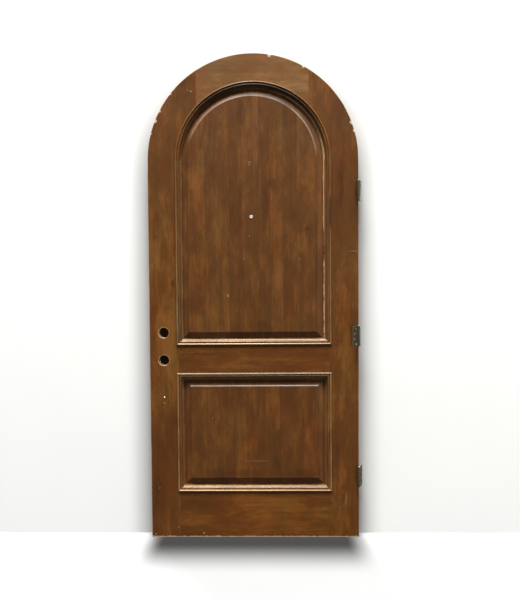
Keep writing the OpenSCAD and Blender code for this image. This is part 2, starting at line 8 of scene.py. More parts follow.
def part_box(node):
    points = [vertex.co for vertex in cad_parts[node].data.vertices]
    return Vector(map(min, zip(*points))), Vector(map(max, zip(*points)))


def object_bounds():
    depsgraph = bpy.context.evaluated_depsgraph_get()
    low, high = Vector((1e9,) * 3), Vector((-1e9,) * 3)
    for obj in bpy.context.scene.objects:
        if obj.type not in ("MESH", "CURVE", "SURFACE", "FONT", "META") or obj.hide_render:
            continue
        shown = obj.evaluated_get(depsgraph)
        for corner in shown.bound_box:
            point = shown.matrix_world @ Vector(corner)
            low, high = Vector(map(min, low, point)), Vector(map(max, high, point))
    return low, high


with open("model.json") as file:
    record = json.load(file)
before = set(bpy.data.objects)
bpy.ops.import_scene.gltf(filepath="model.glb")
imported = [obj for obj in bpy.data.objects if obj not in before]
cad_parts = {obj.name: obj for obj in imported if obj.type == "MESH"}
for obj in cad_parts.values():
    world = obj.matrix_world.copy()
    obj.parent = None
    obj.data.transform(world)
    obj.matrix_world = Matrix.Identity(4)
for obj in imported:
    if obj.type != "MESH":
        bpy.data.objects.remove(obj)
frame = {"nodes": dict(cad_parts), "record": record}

# An arched wooden door on a pale floor, in front of a pale wall. Metres, in the CAD frame: X runs
# across the door towards its hinges, -Y is the face in view and Z is up.

CAD_LOW, CAD_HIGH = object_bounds()
NODES = frame["nodes"]
MOUNTS = {m["name"]: m for m in frame["record"]["mounts"]}

STILE_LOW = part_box("lock_stile")[0]
STILE_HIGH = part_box("hinge_stile")[1]
ARCH_R = (STILE_HIGH.x - STILE_LOW.x) / 2
DOOR_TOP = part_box("head_rail")[1].z
SPRING_Z = DOOR_TOP - ARCH_R
FRONT_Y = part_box("head_rail")[0].y
HALF_T = -FRONT_Y

SIGHT_HALF = (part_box("front_arch_moulding")[1].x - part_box("front_arch_moulding")[0].x) / 2
UPPER_SIGHT_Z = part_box("front_upper_sill_moulding")[0].z
LOWER_SIGHT_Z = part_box("front_lower_sill_moulding")[0].z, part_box("front_lower_head_moulding")[1].z
PANEL_MIDDLE = (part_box("upper_panel")[1].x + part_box("upper_panel")[0].x) / 2

MM = 0.001


# ---- Node trees ----


class Tree:
    """A material's node tree, with short ways to add nodes to it."""

    def __init__(self, name):
        self.material = bpy.data.materials.new(name)
        self.material.use_nodes = True
        self.tree = self.material.node_tree
        self.tree.nodes.clear()
        self.output = self.node("ShaderNodeOutputMaterial")
        self.shader = self.node("ShaderNodeBsdfPrincipled")
        self.link(self.shader.outputs["BSDF"], self.output.inputs["Surface"])
        self.place = self.node("ShaderNodeTexCoord").outputs["Object"]
        parts = self.node("ShaderNodeSeparateXYZ")
        self.link(self.place, parts.inputs[0])
        self.x, self.y, self.z = parts.outputs

    def node(self, kind, **settings):
        made = self.tree.nodes.new(kind)
        for key, value in settings.items():
            setattr(made, key, value)
        return made

    def link(self, source, target):
        self.tree.links.new(source, target)

    def put(self, target, value):
        """Joins a socket to target, or writes a constant into it."""
        if isinstance(value, bpy.types.NodeSocket):
            self.link(value, target)
        elif isinstance(value, (tuple, list, Vector)) and target.type == "RGBA":
            target.default_value = (*value[:3], 1.0)
        else:
            target.default_value = value

    def set(self, name, value):
        """Sets one of the shader's own sockets."""
        self.put(self.shader.inputs[name], value)

    def math(self, operation, *values, clamp=False):
        made = self.node("ShaderNodeMath", operation=operation, use_clamp=clamp)
        for socket, value in zip(made.inputs, values):
            self.put(socket, value)
        return made.outputs[0]

    def add(self, *values):
        total = values[0]
        for value in values[1:]:
            total = self.math("ADD", total, value)
        return total

    def times(self, *values):
        total = values[0]
        for value in values[1:]:
            total = self.math("MULTIPLY", total, value)
        return total

    def less(self, a, b):
        return self.math("SUBTRACT", a, b)

    def absolute(self, value):
        return self.math("ABSOLUTE", value)

    def largest(self, a, b):
        return self.math("MAXIMUM", a, b)

    def smallest(self, a, b):
        return self.math("MINIMUM", a, b)

    def squares(self, a, b):
        return self.add(self.times(a, a), self.times(b, b))

    def length(self, a, b):
        """The length of a vector from its two parts."""
        return self.math("SQRT", self.squares(a, b))

    def step(self, value, start, end):
        """0 below start, 1 above end and smooth between them; start may be the larger."""
        made = self.node("ShaderNodeMapRange", interpolation_type="SMOOTHSTEP", clamp=True)
        flip = start > end
        self.put(made.inputs["Value"], value)
        self.put(made.inputs["From Min"], min(start, end))
        self.put(made.inputs["From Max"], max(start, end))
        self.put(made.inputs["To Min"], 1.0 if flip else 0.0)
        self.put(made.inputs["To Max"], 0.0 if flip else 1.0)
        return made.outputs["Result"]

    def vectors(self, operation, a, b, output="Vector"):
        made = self.node("ShaderNodeVectorMath", operation=operation)
        self.put(made.inputs[0], a)
        self.put(made.inputs[1], b)
        return made.outputs[output]

    def scaled(self, vector, scale):
        return self.vectors("MULTIPLY", vector, scale)

    def shifted(self, vector, shift):
        return self.vectors("ADD", vector, shift)

    def distance(self, vector, point):
        return self.vectors("DISTANCE", vector, point, "Value")

    def joined(self, x, y, z):
        made = self.node("ShaderNodeCombineXYZ")
        for socket, value in zip(made.inputs, (x, y, z)):
            self.put(socket, value)
        return made.outputs[0]

    def noise(self, vector, scale, detail, roughness=0.55, distortion=0.0):
        made = self.node("ShaderNodeTexNoise", noise_dimensions="3D")
        self.put(made.inputs["Vector"], self.scaled(vector, scale))
        made.inputs["Scale"].default_value = 1.0
        made.inputs["Detail"].default_value = detail
        made.inputs["Roughness"].default_value = roughness
        made.inputs["Distortion"].default_value = distortion
        return made.outputs["Fac"]

    def swing(self, noise, amount):
        """A noise turned into a change of about -amount to amount."""
        return self.times(self.less(noise, 0.5), 4.0 * amount)

    def mix(self, factor, a, b, blend="MIX"):
        made = self.node("ShaderNodeMix", data_type="RGBA", blend_type=blend, clamp_factor=True)
        self.put(made.inputs["Factor"], factor)
        self.put(made.inputs[6], a)
        self.put(made.inputs[7], b)
        return made.outputs[2]

    def mix_value(self, factor, a, b):
        made = self.node("ShaderNodeMix", data_type="FLOAT", clamp_factor=True)
        self.put(made.inputs["Factor"], factor)
        self.put(made.inputs[2], a)
        self.put(made.inputs[3], b)
        return made.outputs[0]

    def ramp(self, factor, stops, interpolation="LINEAR"):
        made = self.node("ShaderNodeValToRGB")
        made.color_ramp.interpolation = interpolation
        elements = made.color_ramp.elements
        while len(elements) < len(stops):
            elements.new(0.5)
        for element, (position, colour) in zip(elements, stops):
            shade = colour if isinstance(colour, tuple) else (colour,) * 3
            element.position = position
            element.color = (*shade, 1.0)
        self.put(made.inputs["Fac"], factor)
        return made.outputs["Color"]

    def shade(self, colour, factor):
        """A colour multiplied by a grey factor."""
        return self.mix(1.0, colour, self.grey(factor), "MULTIPLY")

    def grey(self, value):
        made = self.node("ShaderNodeCombineColor")
        for socket in made.inputs:
            self.put(socket, value)
        return made.outputs[0]

    def hollow(self, distance, inside=False):
        """0 in the open and towards 1 in hollows or, with inside, along outer edges."""
        made = self.node("ShaderNodeAmbientOcclusion", samples=6, inside=inside, only_local=False)
        made.inputs["Distance"].default_value = distance
        return self.math("SUBTRACT", 1.0, made.outputs["AO"], clamp=True)

    def relief(self, height, depth, arris, where=None):
        """Bump of that depth in metres, on edges rounded by arris. With where, the edges are
        rounded only where it is 1."""
        bevel = self.node("ShaderNodeBevel", samples=4)
        bevel.inputs["Radius"].default_value = arris
        normal = bevel.outputs["Normal"]
        if where:
            choice = self.node("ShaderNodeMix", data_type="VECTOR")
            self.put(choice.inputs["Factor"], where)
            self.link(self.node("ShaderNodeNewGeometry").outputs["Normal"], choice.inputs[4])
            self.link(normal, choice.inputs[5])
            normal = choice.outputs[1]
        bump = self.node("ShaderNodeBump")
        bump.inputs["Distance"].default_value = depth
        self.put(bump.inputs["Height"], height)
        self.link(normal, bump.inputs["Normal"])
        self.set("Normal", bump.outputs["Normal"])


# ---- Wood ----

RAW_WOOD = (0.50, 0.33, 0.17)
# The old glaze's colour, which also serves as painted shade in the hollows
DARK_GLAZE_AND_SHADE = (0.010, 0.0045, 0.0015)
WORN_WOOD = (0.40, 0.24, 0.11)
GOLDEN = (0.42, 0.265, 0.115)
BARE_EDGE = (0.60, 0.50, 0.36)
# The depth of the grain's bump, and the width of a year's ring
GRAIN_DEPTH, RING_PITCH = 0.0002, 0.013
# Metres along the grain for each radian, where it follows the arch
ROUND_GRAIN = 0.375


def grain_space(t, axis):
    """Coordinates across the grain, through the thickness and along the grain."""
    if axis == "level":
        return t.joined(t.z, t.y, t.x)
    if axis == "round":
        up = t.less(t.z, SPRING_Z)
        angle = t.math("ARCTAN2", up, t.x)
        radius = t.length(up, t.x)
        return t.joined(radius, t.y, t.times(angle, ROUND_GRAIN))
    return t.place


def growth_rings(t, grain, pith, depth, slope):
    """0 to 1 over each year's ring, on a board cut beside a pith that wanders and leans."""
    parts = t.node("ShaderNodeSeparateXYZ")
    t.link(grain, parts.inputs[0])
    across, _, along = parts.outputs
    wander = t.swing(t.noise(grain, (2.5, 2.5, 1.1), 2.0), 0.035)
    lean = t.swing(t.noise(grain, (0.7, 0.7, 1.3), 1.0), 0.05)
    side = t.add(across, -pith, wander)
    below = t.add(t.times(along, slope), depth, lean)
    radius = t.length(side, below)
    rough = t.swing(t.noise(grain, (30, 30, 3), 3.0), 0.10)
    return t.math("FRACT", t.add(t.times(radius, 1.0 / RING_PITCH), rough))


def figure(t, grain, pith=0.0, depth=0.05, slope=0.06, ring_share=0.06):
    """Tone of the figure, about 0.5, and the fibre and pore patterns."""
    cloud = t.swing(t.noise(grain, (8, 8, 2.8), 3.0, 0.6, 0.3), 0.15)
    blotch = t.swing(t.noise(grain, (26, 26, 10), 4.0, 0.62, 0.2), 0.13)
    streak = t.swing(t.noise(grain, (62, 62, 1.6), 2.0, 0.5), 0.06)
    fleck = t.swing(t.noise(grain, (230, 230, 40), 3.0, 0.6), 0.05)
    fibre = t.noise(grain, (1100, 1100, 26), 3.0, 0.6)
    ring = growth_rings(t, grain, pith, depth, slope)
    late = t.math("POWER", ring, 2.2)
    late = t.times(late, t.step(ring, 1.0, 0.93))
    tone = t.add(0.5, cloud, blotch, streak, fleck, t.times(t.less(late, 0.3), -ring_share))
    tone = t.add(tone, t.swing(fibre, 0.03))
    pore = t.step(t.noise(grain, (2300, 2300, 110), 2.0, 0.5), 0.63, 0.70)
    return tone, fibre, pore


def stained(t, tone, dark, light):
    """The stained colour for a tone: dark below, light above."""
    middle = tuple((a * b) ** 0.5 for a, b in zip(dark, light))
    return t.ramp(tone, ((0.0, dark), (0.5, middle), (1.0, light)))


def outline_inset(t, drop=0.0):
    """How far inside the slab's outline a point is, for an outline that is lowered by drop."""
    z = t.add(t.z, drop)
    up = t.largest(t.less(z, SPRING_Z), 0.0)
    radius = t.length(t.x, up)
    return t.smallest(t.less(ARCH_R, radius), z)


def outline_edge(t):
    """1 at the slab's outer edges, fading out a few millimetres inside them."""
    return t.step(outline_inset(t), 0.0035, 0.0006)


def sheen_and_hue_tinted(t, colour):
    """Redder and deeper towards the door's foot, painted light standing for the sheen that the top
    catches; the stain also wanders between red and olive.
    """
    low, middle, high = (0.95, 0.86, 0.56), (0.97, 0.94, 0.84), (1.0, 1.0, 1.0)
    # Painted light: the colour darkens and reddens towards the foot
    tint = t.ramp(t.times(t.z, 1.0 / DOOR_TOP), ((0.0, low), (0.42, middle), (0.8, high)))
    wander = t.noise(t.place, (9, 9, 2.6), 3.0, 0.6, 0.4)
    hue = t.ramp(wander, ((0.34, (1.07, 0.955, 0.90)), (0.66, (0.945, 1.045, 1.04))))
    return t.mix(1.0, t.mix(1.0, colour, tint, "MULTIPLY"), hue, "MULTIPLY")


def oval_reach(t, x, z, middle, halves):
    """The square of how far a place is from an oval's middle, as a share of the way to its edge."""
    across = t.times(t.less(x, middle[0]), 1.0 / halves[0])
    along = t.times(t.less(z, middle[1]), 1.0 / halves[1])
    return t.squares(across, along)


def blots(t, tone, spots):
    """Darker and lighter patches with soft, wandering edges. A spot is its x and z, half its width,
    half its height and its change of tone."""
    x = t.add(t.x, t.swing(t.noise(t.place, (22, 22, 9), 3.0, 0.6), 0.008))
    z = t.add(t.z, t.swing(t.noise(t.place, (15, 15, 15), 3.0, 0.6), 0.012))
    for spot_x, spot_z, wide, tall, change in spots:
        reach = oval_reach(t, x, z, (spot_x, spot_z), (wide, tall))
        tone = t.add(tone, t.times(t.step(reach, 2.2, 0.1), change))
    return tone


def marks(t, colour, places, pigment):
    """Specks, scratches or smears on the face in view. A place is its x and z, and half its width
    and height."""
    front = t.step(t.y, 0.005, -0.005)
    for place_x, place_z, wide, tall in places:
        reach = oval_reach(t, t.x, t.z, (place_x, place_z), (wide, tall))
        colour = t.mix(t.times(t.step(reach, 1.5, 0.4), front, 0.65), colour, pigment)
    return colour


def varnish(t, colour, fibre, pore, gloss, specular, wear, glaze_and_shade, slab=False, arris=0.0008):
    """Colour under varnish, with glaze and painted shade in the hollows, worn arrises, fine relief
    and uneven gloss.
    The slab's own members meet flush, so they are worn only along the outline."""
    smudge = t.noise(t.place, (14, 14, 14), 4.0, 0.6)
    patchy = t.noise(t.place, (90, 90, 90), 4.0, 0.65)
    # Darker in the hollows: old glaze, and painted shade where the recesses lie in shadow
    hollow = t.step(t.hollow(0.016), 0.15, 0.62)
    dirt_and_shade = t.times(hollow, glaze_and_shade, t.step(patchy, 0.15, 0.5))
    colour = t.mix(dirt_and_shade, colour, DARK_GLAZE_AND_SHADE)
    outline = outline_edge(t) if slab else None
    edge = outline if slab else t.step(t.hollow(0.004, inside=True), 0.10, 0.7)
    rub = t.times(edge, wear, t.step(smudge, 0.40, 0.66))
    colour = t.mix(rub, colour, WORN_WOOD)
    colour = t.mix(t.times(pore, 0.45), colour, DARK_GLAZE_AND_SHADE)
    t.set("Base Color", colour)
    sheen = t.add(gloss, t.swing(smudge, 0.07), t.swing(fibre, 0.05))
    t.set("Roughness", t.add(sheen, t.times(dirt_and_shade, 0.45), t.times(rub, 0.15)))
    t.set("Specular IOR Level", specular)
    height = t.add(t.times(fibre, 0.5), t.times(pore, -0.6), t.times(smudge, 0.6))
    t.relief(height, GRAIN_DEPTH, arris, where=outline)


def wood(name, axis, dark, light, specular=0.3, gloss=0.45, extra=None, wear=0.5, glaze_and_shade=0.6,
         slab=False, drift=None, spots=(), **cut):
    """A stained and varnished wood. extra(t, colour, tone) may paint features over the colour, and
    drift lists heights with the tone that the stain drifts to there."""
    t = Tree(name)
    grain = grain_space(t, axis)
    tone, fibre, pore = figure(t, grain, **cut)
    if drift:
        stops = [(height / DOOR_TOP, value) for height, value in drift]
        tone = t.add(tone, t.less(t.ramp(t.times(t.z, 1.0 / DOOR_TOP), stops, "EASE"), 0.5))
    tone = blots(t, tone, spots)
    colour = sheen_and_hue_tinted(t, stained(t, tone, dark, light))
    if extra:
        colour = extra(t, colour, tone)
    varnish(t, colour, fibre, pore, gloss, specular, wear, glaze_and_shade, slab)
    return t.material


def near(t, point, size):
    """1 near a point and 0 a little beyond size from it."""
    return t.step(t.distance(t.place, point), size * 1.2, size * 0.8)


def over(t, *masks):
    """The largest of several masks."""
    top = masks[0]
    for mask in masks[1:]:
        top = t.largest(top, mask)
    return top


# ---- The slab's own features ----

# How far in from a face a cross bore's wall is raw wood, and the painted shade that darkens it beyond
# that
RAW_DEPTH = 0.013
BORE_SHADE = (0.10, 0.062, 0.033)
# Half height, half width and depth of the faceplate's rebate, with a little to spare
PLATE_TALL, PLATE_WIDE, PLATE_DEEP = 0.0289, 0.0130, 0.0036
# How far the scar lies below the screw, and its width as a share of its height
SCAR_DROP, SCAR_SQUEEZE = 0.0285, 0.8
SCAR = (0.30, 0.19, 0.10)


def bore_axis_distance(t, name):
    """Distance from a bore's axis."""
    x, y, z = MOUNTS[name]["pos_m"]
    if abs(MOUNTS[name]["axis"][1]) > 0.5:
        return t.distance(t.joined(t.x, 0.0, t.z), (x, 0.0, z))
    return t.distance(t.joined(0.0, t.y, t.z), (0.0, y, z))


def bore_features(t, colour, lock):
    """A cross bore has a worn ring round its mouth and painted shade deep inside, and its latch bore
    opens in a rebate for the faceplate. With the colour comes a list of masks for the raw wood."""
    cross, latch = f"{lock}_cross_bore", f"{lock}_latch_bore"
    radius = MOUNTS[cross]["dims"]["r_mm"] * MM
    mouth = t.step(t.absolute(t.y), HALF_T - RAW_DEPTH, HALF_T - RAW_DEPTH + 0.008)
    wall = t.step(bore_axis_distance(t, cross), radius + 0.0008, radius + 0.0002)
    worn = t.times(t.step(bore_axis_distance(t, cross), radius + 0.0034, radius + 0.0010), 0.6)
    colour = t.mix(worn, colour, WORN_WOOD)
    # Deep inside the bore, the wall is painted dark as shade
    colour = t.mix(t.times(wall, t.less(1.0, mouth)), colour, BORE_SHADE)
    small = MOUNTS[latch]["dims"]["r_mm"] * MM
    inside = t.step(t.x, STILE_LOW.x + 0.0001, STILE_LOW.x + 0.0004)
    hole = t.step(bore_axis_distance(t, latch), small + 0.0006, small + 0.0002)
    away = t.absolute(t.less(t.z, MOUNTS[latch]["pos_m"][2]))
    plate = t.times(t.step(away, PLATE_TALL, PLATE_TALL - 0.0003),
                    t.step(t.absolute(t.y), PLATE_WIDE, PLATE_WIDE - 0.0003))
    rebate = t.step(t.x, STILE_LOW.x + PLATE_DEEP, STILE_LOW.x + PLATE_DEEP - 0.0003)
    return colour, [t.times(wall, mouth), t.times(inside, hole), t.times(inside, plate, rebate)]


def old_scar(t, colour):
    """A pale filled scar under the handle screw, with a dark ring round it."""
    low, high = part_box("handle_screw")
    x, z = (low.x + high.x) / 2, (low.z + high.z) / 2 - SCAR_DROP
    squeezed = t.scaled(t.place, (1.0, 1.0, SCAR_SQUEEZE))
    reach = t.distance(squeezed, (x, FRONT_Y, z * SCAR_SQUEEZE))
    colour = t.mix(t.times(t.step(reach, 0.0075, 0.0045), 0.45), colour, SCAR)
    ring = t.times(t.step(reach, 0.0105, 0.0080), t.step(reach, 0.0050, 0.0075))
    return t.mix(t.times(ring, 0.55), colour, DARK_GLAZE_AND_SHADE)


def lock_stile_features(t, colour, tone):
    """The lock's bores, bared to raw wood near the faces, and the old handle's scar."""
    masks = []
    for lock in ("deadbolt", "latch"):
        colour, found = bore_features(t, colour, lock)
        masks.extend(found)
    bare = t.shade(RAW_WOOD, t.add(0.75, t.times(tone, 0.4)))
    colour = t.mix(over(t, *masks), colour, bare)
    return marked_edge(t, old_scar(t, colour), tone)


# Angle from the hinge side in degrees, and size, of the chips in the arch's outer edge
CHIPS = ((15.5, 0.007), (20, 0.009), (61, 0.007), (80.5, 0.009), (152, 0.007), (158, 0.008),
         (165, 0.006))
# The same for places that are bared without a chip of their own
RUBS = ((141, 0.006), (151.5, 0.005))
# A chip's wood is bare within BARE_CORE of its size, and not at all beyond BARE_RIM
BARE_CORE, BARE_RIM = 0.95, 1.35


def edge_features(t, colour, tone):
    """Bare wood round the outer edge's chips and rubs, and along the door's scuffed foot."""
    ragged = t.swing(t.noise(t.place, (60, 60, 30), 4.0, 0.65), 0.006)
    foot = t.step(t.add(t.z, t.times(ragged, 0.6)), 0.0070, 0.0025)
    flat = t.joined(t.x, 0.0, t.z)
    chips = []
    for degrees, size in CHIPS + RUBS:
        angle = math.radians(degrees)
        place = (ARCH_R * math.cos(angle), 0.0, SPRING_Z + ARCH_R * math.sin(angle))
        reach = t.add(t.distance(flat, place), ragged)
        chips.append(t.step(reach, size * BARE_RIM, size * BARE_CORE))
    bare = over(t, *chips)
    colour = t.mix(t.times(foot, 0.8), colour, BARE_EDGE)
    return t.mix(t.times(bare, 0.85), colour, BARE_EDGE)


def marked_edge(t, colour, tone):
    """An upright member's specks and scratches, and its bared edges."""
    return edge_features(t, marks(t, colour, STILE_MARKS, FLECK), tone)


def marked_rail(t, colour, tone):
    """The bottom rail's specks, and its bared foot."""
    return edge_features(t, marks(t, colour, RAIL_MARKS, FLECK), tone)


def lower_panel_features(t, colour, tone):
    """Specks, and a dark shoulder along the panel's head."""
    colour = marks(t, colour, LOWER_MARKS, FLECK)
    high = t.step(t.z, LOWER_SIGHT_Z[1] - 0.09, LOWER_SIGHT_Z[1] - 0.07)
    return greyed_shoulder(t, colour, lower_inset(t), high, t.step(t.x, -0.10, 0.15))


# How far inside the mouldings' outer edge the stain stops on the upper panel's hinge side, and
# the height round which it goes further
STAIN_REACH, COVERED_Z = 0.0318, 1.486
# Where the panels' steep shoulder lies, inwards from the mouldings' outer edge
SHOULDER_START, SHOULDER_END = 0.063, 0.0695
DARK_GREY_SHOULDER = (0.060, 0.044, 0.031)
# Colours of the painted highlight streaks on the upper panel's shoulder
BROAD_SHOULDER_HIGHLIGHT, THIN_SHOULDER_HIGHLIGHT = (0.24, 0.165, 0.110), (0.185, 0.155, 0.130)


def upper_inset(t, dx=0.0, dz=0.0):
    """How far a point, moved by dx and dz, is inside the upper mouldings' outer edge."""
    x, z = t.add(t.x, dx), t.add(t.z, dz)
    up = t.largest(t.less(z, SPRING_Z), 0.0)
    radius = t.length(x, up)
    return t.smallest(t.less(SIGHT_HALF, radius), t.less(z, UPPER_SIGHT_Z))


def lower_inset(t):
    """How far a point is inside the lower mouldings' outer edge."""
    low, high = LOWER_SIGHT_Z
    aside = t.less(SIGHT_HALF, t.absolute(t.x))
    return t.smallest(aside, t.smallest(t.less(t.z, low), t.less(high, t.z)))


def shoulder_band(t, inset, before, inwards):
    """1 on the shoulder. It fades in from before, measured outwards from the shoulder's start,
    over the distance inwards, and fades out round the shoulder's end."""
    start = SHOULDER_START - before
    fade_in = t.step(inset, start, start + inwards)
    return t.times(fade_in, t.step(inset, SHOULDER_END + 0.001, SHOULDER_END - 0.001))


def greyed_shoulder(t, colour, inset, high, more):
    """The shoulder is dark and greyish where high is 1, the more so where more is 1."""
    band = shoulder_band(t, inset, 0.004, 0.004)
    share = t.add(0.47, t.times(more, 0.35))
    return t.mix(t.times(band, high, share), colour, DARK_GREY_SHOULDER)


def painted_shoulder_highlight(t, colour, inset):
    """Painted highlight on the shoulder: a broad dull streak left of the crown and a thin pale one
    right.
    """
    up = t.less(t.z, SPRING_Z)
    left = t.times(t.step(t.x, -0.02, -0.10), t.step(up, 0.08, 0.16))
    broad = shoulder_band(t, inset, 0.011, 0.009)
    colour = t.mix(t.times(left, broad, 0.5), colour, BROAD_SHOULDER_HIGHLIGHT)
    right = t.times(t.step(t.x, 0.17, 0.23), t.step(up, 0.01, 0.06))
    narrow = shoulder_band(t, inset, 0.005, 0.006)
    return t.mix(t.times(right, narrow, 0.7), colour, THIN_SHOULDER_HIGHLIGHT)


# How far the figure moves from one stave to the next
STAVE_SHIFT = (0.37, 0.0, 0.83)


def staves(t, edges, grain):
    """The stave a point is in, its moved grain, and its distance from the nearest joint."""
    index, gap = 0.0, 1.0
    for edge in edges:
        index = t.add(index, t.math("GREATER_THAN", t.x, edge))
        gap = t.smallest(gap, t.absolute(t.less(t.x, edge)))
    made = t.node("ShaderNodeVectorMath", operation="SCALE")
    t.put(made.inputs[0], STAVE_SHIFT)
    t.put(made.inputs["Scale"], index)
    return index, t.shifted(grain, made.outputs["Vector"]), gap


def panel_wood(name, dark, light, edges, tones, extra, spots, **cut):
    """A panel glued up from staves, each with its own tone and figure."""
    t = Tree(name)
    index, grain, gap = staves(t, edges, t.place)
    tone, fibre, pore = figure(t, grain, **cut)
    count = len(tones)
    stops = [(i / count, tones[i]) for i in range(count)]
    own = t.ramp(t.times(t.add(index, 0.5), 1.0 / count), stops, "CONSTANT")
    tone = t.add(tone, t.less(own, 0.5))
    tone = blots(t, tone, spots)
    joint = t.times(t.step(gap, 0.0009, 0.0003), 0.35)
    colour = t.mix(joint, sheen_and_hue_tinted(t, stained(t, tone, dark, light)), DARK_GLAZE_AND_SHADE)
    colour = extra(t, colour, tone)
    varnish(t, colour, fibre, pore, gloss=0.46, specular=0.34, wear=0.0, glaze_and_shade=0.85, arris=0.003)
    return t.material


def raw_strip(t, slip):
    """1 on the strip at the hinge side that never met the stain. It is tattered in its lower part
    and narrower round COVERED_Z."""
    ragged = t.swing(t.noise(t.place, (30, 30, 55), 3.0, 0.6), 0.0012)
    inset = t.add(upper_inset(t, slip, slip * 0.2), ragged)
    tatters = t.noise(t.place, (5, 5, 34), 3.0, 0.6)
    low = t.step(t.z, 1.50, 1.25)
    torn = t.times(low, t.step(tatters, 0.46, 0.66), 0.0045)
    covered = t.times(t.step(t.absolute(t.add(t.z, -COVERED_Z)), 0.095, 0.060), 0.0035)
    reach = t.less(STAIN_REACH, t.add(torn, covered))
    return t.times(t.step(t.less(inset, reach), 0.0004, -0.0004), t.step(t.x, 0.0, 0.02))


def upper_panel_features(t, colour, tone):
    """Specks, a dark shoulder with a painted highlight, and the strip that was bared as the panel
    slipped.
    """
    slip = -PANEL_MIDDLE
    bare = raw_strip(t, slip)
    colour = marks(t, colour, UPPER_MARKS, FLECK)
    above = t.step(t.less(t.z, SPRING_Z), 0.06, 0.16)
    middle = t.times(t.step(t.x, -0.15, 0.05), t.step(t.x, 0.24, 0.14))
    colour = greyed_shoulder(t, colour, upper_inset(t, slip, slip * 0.5), above, middle)
    colour = painted_shoulder_highlight(t, colour, upper_inset(t, slip, slip * 0.5))
    paler = t.times(t.step(t.z, 1.50, 1.40), 0.35)
    return t.mix(bare, colour, t.shade(RAW_WOOD, t.add(0.8, t.times(tone, 0.4), paler)))


# ---- Metals, glass and the bare dowels ----

GRIME_AND_SHADE = (0.02, 0.016, 0.012)
BRIGHT_LENS, DUSTY_BRIGHT_LENS = (0.98, 0.97, 0.93), (0.90, 0.89, 0.82)
BEECH_DARK, BEECH_LIGHT = (0.45, 0.30, 0.17), (0.74, 0.57, 0.38)
# How far from a screw hole's middle the leaf is made bright
BRIGHT_RIM = 0.0052


def metal(name, colour, worn, gloss, blotch=0.4, spots=(), metallic=0.92):
    """A plated metal: blotchy, worn along its edges and, at spots, made bright."""
    t = Tree(name)
    cloud = t.noise(t.place, (130, 130, 130), 4.0, 0.6)
    fine = t.noise(t.place, (1500, 1500, 1500), 2.0, 0.5)
    dull = tuple(c * 0.55 for c in colour)
    base = t.mix(t.times(t.step(cloud, 0.35, 0.65), blotch), colour, dull)
    edge = t.times(t.step(t.hollow(0.0016, inside=True), 0.10, 0.5), 0.8, t.step(cloud, 0.30, 0.6))
    for point, size in spots:
        edge = t.largest(edge, near(t, point, size))
    base = t.mix(edge, base, worn)
    # Darker in the hollows: grime, and painted shade where the creases lie in shadow
    dirt_and_shade = t.times(t.step(t.hollow(0.003), 0.3, 0.9), 0.55)
    t.set("Base Color", t.mix(dirt_and_shade, base, GRIME_AND_SHADE))
    t.set("Metallic", metallic)
    t.set("Roughness", t.add(gloss, t.swing(cloud, 0.08), t.swing(fine, 0.04)))
    t.relief(t.add(t.times(cloud, 0.7), t.times(fine, 0.3)), 0.00008, 0.0003)
    return t.material


def screw_spots(hinge):
    """The rims of a loose leaf's four holes, as points on its face."""
    spots = []
    for pair in ("outer", "inner"):
        mount = MOUNTS[f"{hinge}_hinge_{pair}_screws"]
        half = mount["dims"]["pcd_mm"] / 2 * MM
        for side in (-half, half):
            spots.append((Vector(mount["pos_m"]) + Vector((0, 0, side)), BRIGHT_RIM))
    return spots


def glass(name):
    """A small lens, painted near-white as its bright reflection, and faintly dusty."""
    t = Tree(name)
    dust = t.noise(t.place, (900, 900, 900), 3.0, 0.6)
    t.set("Base Color", t.mix(t.step(dust, 0.4, 0.8), BRIGHT_LENS, DUSTY_BRIGHT_LENS))
    t.set("Roughness", t.add(0.06, t.times(dust, 0.12)))
    t.set("Transmission Weight", 0.15)
    t.set("IOR", 1.5)
    t.relief(dust, 0.00002, 0.0002)
    return t.material


def beech(name):
    """Bare dowels with level grain."""
    t = Tree(name)
    grain = grain_space(t, "level")
    tone, fibre, pore = figure(t, grain, ring_share=0.05)
    colour = stained(t, tone, BEECH_DARK, BEECH_LIGHT)
    varnish(t, colour, fibre, pore, gloss=0.7, specular=0.2, wear=0.1, glaze_and_shade=0.2)
    return t.material


# ---- Painting the CAD nodes ----

STILE_DARK, STILE_LIGHT = (0.042, 0.0135, 0.0022), (0.31, 0.128, 0.030)
HEAD_DARK, HEAD_LIGHT = (0.074, 0.0275, 0.0068), (0.37, 0.195, 0.078)
RAIL_DARK, RAIL_LIGHT = (0.046, 0.0140, 0.0020), (0.31, 0.122, 0.024)
PANEL_DARK, PANEL_LIGHT = (0.040, 0.0130, 0.0023), (0.275, 0.112, 0.025)
MOULD_DARK, MOULD_LIGHT = (0.050, 0.0170, 0.0030), (0.36, 0.165, 0.045)
# The level mouldings' stain is lighter and yellower: painted light for their upward faces
LIT_LEDGE_DARK, LIT_LEDGE_LIGHT = (0.058, 0.0255, 0.0051), (0.36, 0.216, 0.072)

# Where the panels' staves meet, in x, and each stave's tone
UPPER_EDGES = (-0.242, -0.120, -0.055, 0.030, 0.085, 0.150, 0.220)
UPPER_TONES = (0.55, 0.52, 0.46, 0.53, 0.48, 0.56, 0.49, 0.53)
LOWER_EDGES = (-0.210, -0.095, 0.020, 0.130, 0.240)
LOWER_TONES = (0.51, 0.49, 0.52, 0.48, 0.52, 0.50)

